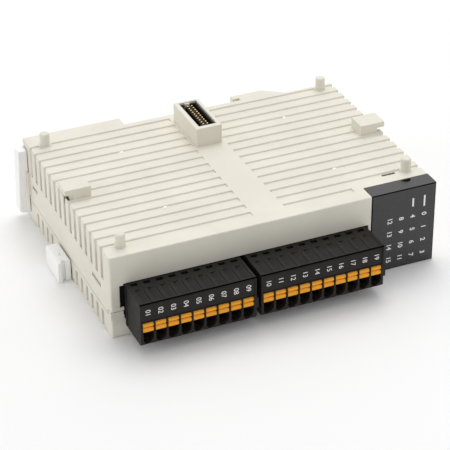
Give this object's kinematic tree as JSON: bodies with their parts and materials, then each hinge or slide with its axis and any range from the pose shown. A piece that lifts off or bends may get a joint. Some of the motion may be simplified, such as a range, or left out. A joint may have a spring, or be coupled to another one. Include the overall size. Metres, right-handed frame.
{
  "type": "plc expansion module",
  "caption": "Slim DIN-rail controller input/output module lying on its side, with ribbed case, bus header, indicator window and pluggable push-in terminal blocks.",
  "frame": {"origin": "middle of the bounding box on the resting side", "axes": "+X along the case length towards the indicator window, -Y towards the terminal blocks, +Z out of the ribbed side"},
  "size_m": [0.103, 0.081, 0.0302],
  "materials": {
    "case_plastic": "fine moulded texture",
    "window_plastic": "smooth satin-gloss smoked plastic",
    "circuit_board": "solder mask",
    "led_lens": "clear",
    "component_body": "moulded",
    "capacitor_can": "satin",
    "connector_plastic": "moulded",
    "white_plastic": "smooth moulded",
    "gold_contact": "plated",
    "tinned_contact": "tin plated",
    "spring_steel": "bright",
    "release_button": "moulded"
  },
  "bodies": {
    "module": {"analog_board": "circuit_board", "analog_board_chips": "component_body", "board_capacitors": "capacitor_can", "board_spacers": "white_plastic", "bus_header_insulator": "connector_plastic", "bus_header_pins": "gold_contact", "bus_socket_body": "connector_plastic", "bus_socket_contacts": "gold_contact", "header_pins_left": "tinned_contact", "header_pins_right": "tinned_contact", "indicator_leds": "led_lens", "isolation_transformer": "component_body", "led_board": "circuit_board", "led_window": "window_plastic", "lower_shell": "case_plastic", "main_board": "circuit_board", "main_board_chips": "component_body", "stacking_connector": "connector_plastic", "terminal_header_left": "connector_plastic", "terminal_header_right": "connector_plastic", "upper_shell": "case_plastic"},
    "plug_left": {"clamp_springs_left": "spring_steel", "plug_contacts_left": "tinned_contact", "plug_housing_left": "connector_plastic"},
    "plug_right": {"clamp_springs_right": "spring_steel", "plug_contacts_right": "tinned_contact", "plug_housing_right": "connector_plastic"},
    "rail_latch": {"rail_latch": "white_plastic"},
    "lock_slider_left": {"lock_slider_left": "white_plastic"},
    "lock_slider_right": {"lock_slider_right": "white_plastic"},
    "button_left_01": {"button_left_01": "release_button"},
    "button_left_02": {"button_left_02": "release_button"},
    "button_left_03": {"button_left_03": "release_button"},
    "button_left_04": {"button_left_04": "release_button"},
    "button_left_05": {"button_left_05": "release_button"},
    "button_left_06": {"button_left_06": "release_button"},
    "button_left_07": {"button_left_07": "release_button"},
    "button_left_08": {"button_left_08": "release_button"},
    "button_left_09": {"button_left_09": "release_button"},
    "button_right_01": {"button_right_01": "release_button"},
    "button_right_02": {"button_right_02": "release_button"},
    "button_right_03": {"button_right_03": "release_button"},
    "button_right_04": {"button_right_04": "release_button"},
    "button_right_05": {"button_right_05": "release_button"},
    "button_right_06": {"button_right_06": "release_button"},
    "button_right_07": {"button_right_07": "release_button"},
    "button_right_08": {"button_right_08": "release_button"},
    "button_right_09": {"button_right_09": "release_button"},
    "button_right_10": {"button_right_10": "release_button"}
  },
  "joints": [
    {"name": "plug_left_pull", "type": "slide", "parent": "module", "child": "plug_left", "axis": [0, -1, 0], "range_m": [0, 0.009]},
    {"name": "plug_right_pull", "type": "slide", "parent": "module", "child": "plug_right", "axis": [0, -1, 0], "range_m": [0, 0.009]},
    {"name": "rail_latch_slide", "type": "slide", "parent": "module", "child": "rail_latch", "axis": [-1, 0, 0], "range_m": [0, 0.003], "stiffness_N_per_m": 1500, "springref_m": -0.001},
    {"name": "lock_left_slide", "type": "slide", "parent": "module", "child": "lock_slider_left", "axis": [-1, 0, 0], "range_m": [0, 0.0025]},
    {"name": "lock_right_slide", "type": "slide", "parent": "module", "child": "lock_slider_right", "axis": [1, 0, 0], "range_m": [0, 0.0025]},
    {"name": "button_left_01_press", "type": "slide", "parent": "plug_left", "child": "button_left_01", "axis": [0, 1, 0], "range_m": [0, 0.0012], "stiffness_N_per_m": 1500, "springref_m": -0.0003},
    {"name": "button_left_02_press", "type": "slide", "parent": "plug_left", "child": "button_left_02", "axis": [0, 1, 0], "range_m": [0, 0.0012], "stiffness_N_per_m": 1500, "springref_m": -0.0003},
    {"name": "button_left_03_press", "type": "slide", "parent": "plug_left", "child": "button_left_03", "axis": [0, 1, 0], "range_m": [0, 0.0012], "stiffness_N_per_m": 1500, "springref_m": -0.0003},
    {"name": "button_left_04_press", "type": "slide", "parent": "plug_left", "child": "button_left_04", "axis": [0, 1, 0], "range_m": [0, 0.0012], "stiffness_N_per_m": 1500, "springref_m": -0.0003},
    {"name": "button_left_05_press", "type": "slide", "parent": "plug_left", "child": "button_left_05", "axis": [0, 1, 0], "range_m": [0, 0.0012], "stiffness_N_per_m": 1500, "springref_m": -0.0003},
    {"name": "button_left_06_press", "type": "slide", "parent": "plug_left", "child": "button_left_06", "axis": [0, 1, 0], "range_m": [0, 0.0012], "stiffness_N_per_m": 1500, "springref_m": -0.0003},
    {"name": "button_left_07_press", "type": "slide", "parent": "plug_left", "child": "button_left_07", "axis": [0, 1, 0], "range_m": [0, 0.0012], "stiffness_N_per_m": 1500, "springref_m": -0.0003},
    {"name": "button_left_08_press", "type": "slide", "parent": "plug_left", "child": "button_left_08", "axis": [0, 1, 0], "range_m": [0, 0.0012], "stiffness_N_per_m": 1500, "springref_m": -0.0003},
    {"name": "button_left_09_press", "type": "slide", "parent": "plug_left", "child": "button_left_09", "axis": [0, 1, 0], "range_m": [0, 0.0012], "stiffness_N_per_m": 1500, "springref_m": -0.0003},
    {"name": "button_right_01_press", "type": "slide", "parent": "plug_right", "child": "button_right_01", "axis": [0, 1, 0], "range_m": [0, 0.0012], "stiffness_N_per_m": 1500, "springref_m": -0.0003},
    {"name": "button_right_02_press", "type": "slide", "parent": "plug_right", "child": "button_right_02", "axis": [0, 1, 0], "range_m": [0, 0.0012], "stiffness_N_per_m": 1500, "springref_m": -0.0003},
    {"name": "button_right_03_press", "type": "slide", "parent": "plug_right", "child": "button_right_03", "axis": [0, 1, 0], "range_m": [0, 0.0012], "stiffness_N_per_m": 1500, "springref_m": -0.0003},
    {"name": "button_right_04_press", "type": "slide", "parent": "plug_right", "child": "button_right_04", "axis": [0, 1, 0], "range_m": [0, 0.0012], "stiffness_N_per_m": 1500, "springref_m": -0.0003},
    {"name": "button_right_05_press", "type": "slide", "parent": "plug_right", "child": "button_right_05", "axis": [0, 1, 0], "range_m": [0, 0.0012], "stiffness_N_per_m": 1500, "springref_m": -0.0003},
    {"name": "button_right_06_press", "type": "slide", "parent": "plug_right", "child": "button_right_06", "axis": [0, 1, 0], "range_m": [0, 0.0012], "stiffness_N_per_m": 1500, "springref_m": -0.0003},
    {"name": "button_right_07_press", "type": "slide", "parent": "plug_right", "child": "button_right_07", "axis": [0, 1, 0], "range_m": [0, 0.0012], "stiffness_N_per_m": 1500, "springref_m": -0.0003},
    {"name": "button_right_08_press", "type": "slide", "parent": "plug_right", "child": "button_right_08", "axis": [0, 1, 0], "range_m": [0, 0.0012], "stiffness_N_per_m": 1500, "springref_m": -0.0003},
    {"name": "button_right_09_press", "type": "slide", "parent": "plug_right", "child": "button_right_09", "axis": [0, 1, 0], "range_m": [0, 0.0012], "stiffness_N_per_m": 1500, "springref_m": -0.0003},
    {"name": "button_right_10_press", "type": "slide", "parent": "plug_right", "child": "button_right_10", "axis": [0, 1, 0], "range_m": [0, 0.0012], "stiffness_N_per_m": 1500, "springref_m": -0.0003}
  ]
}
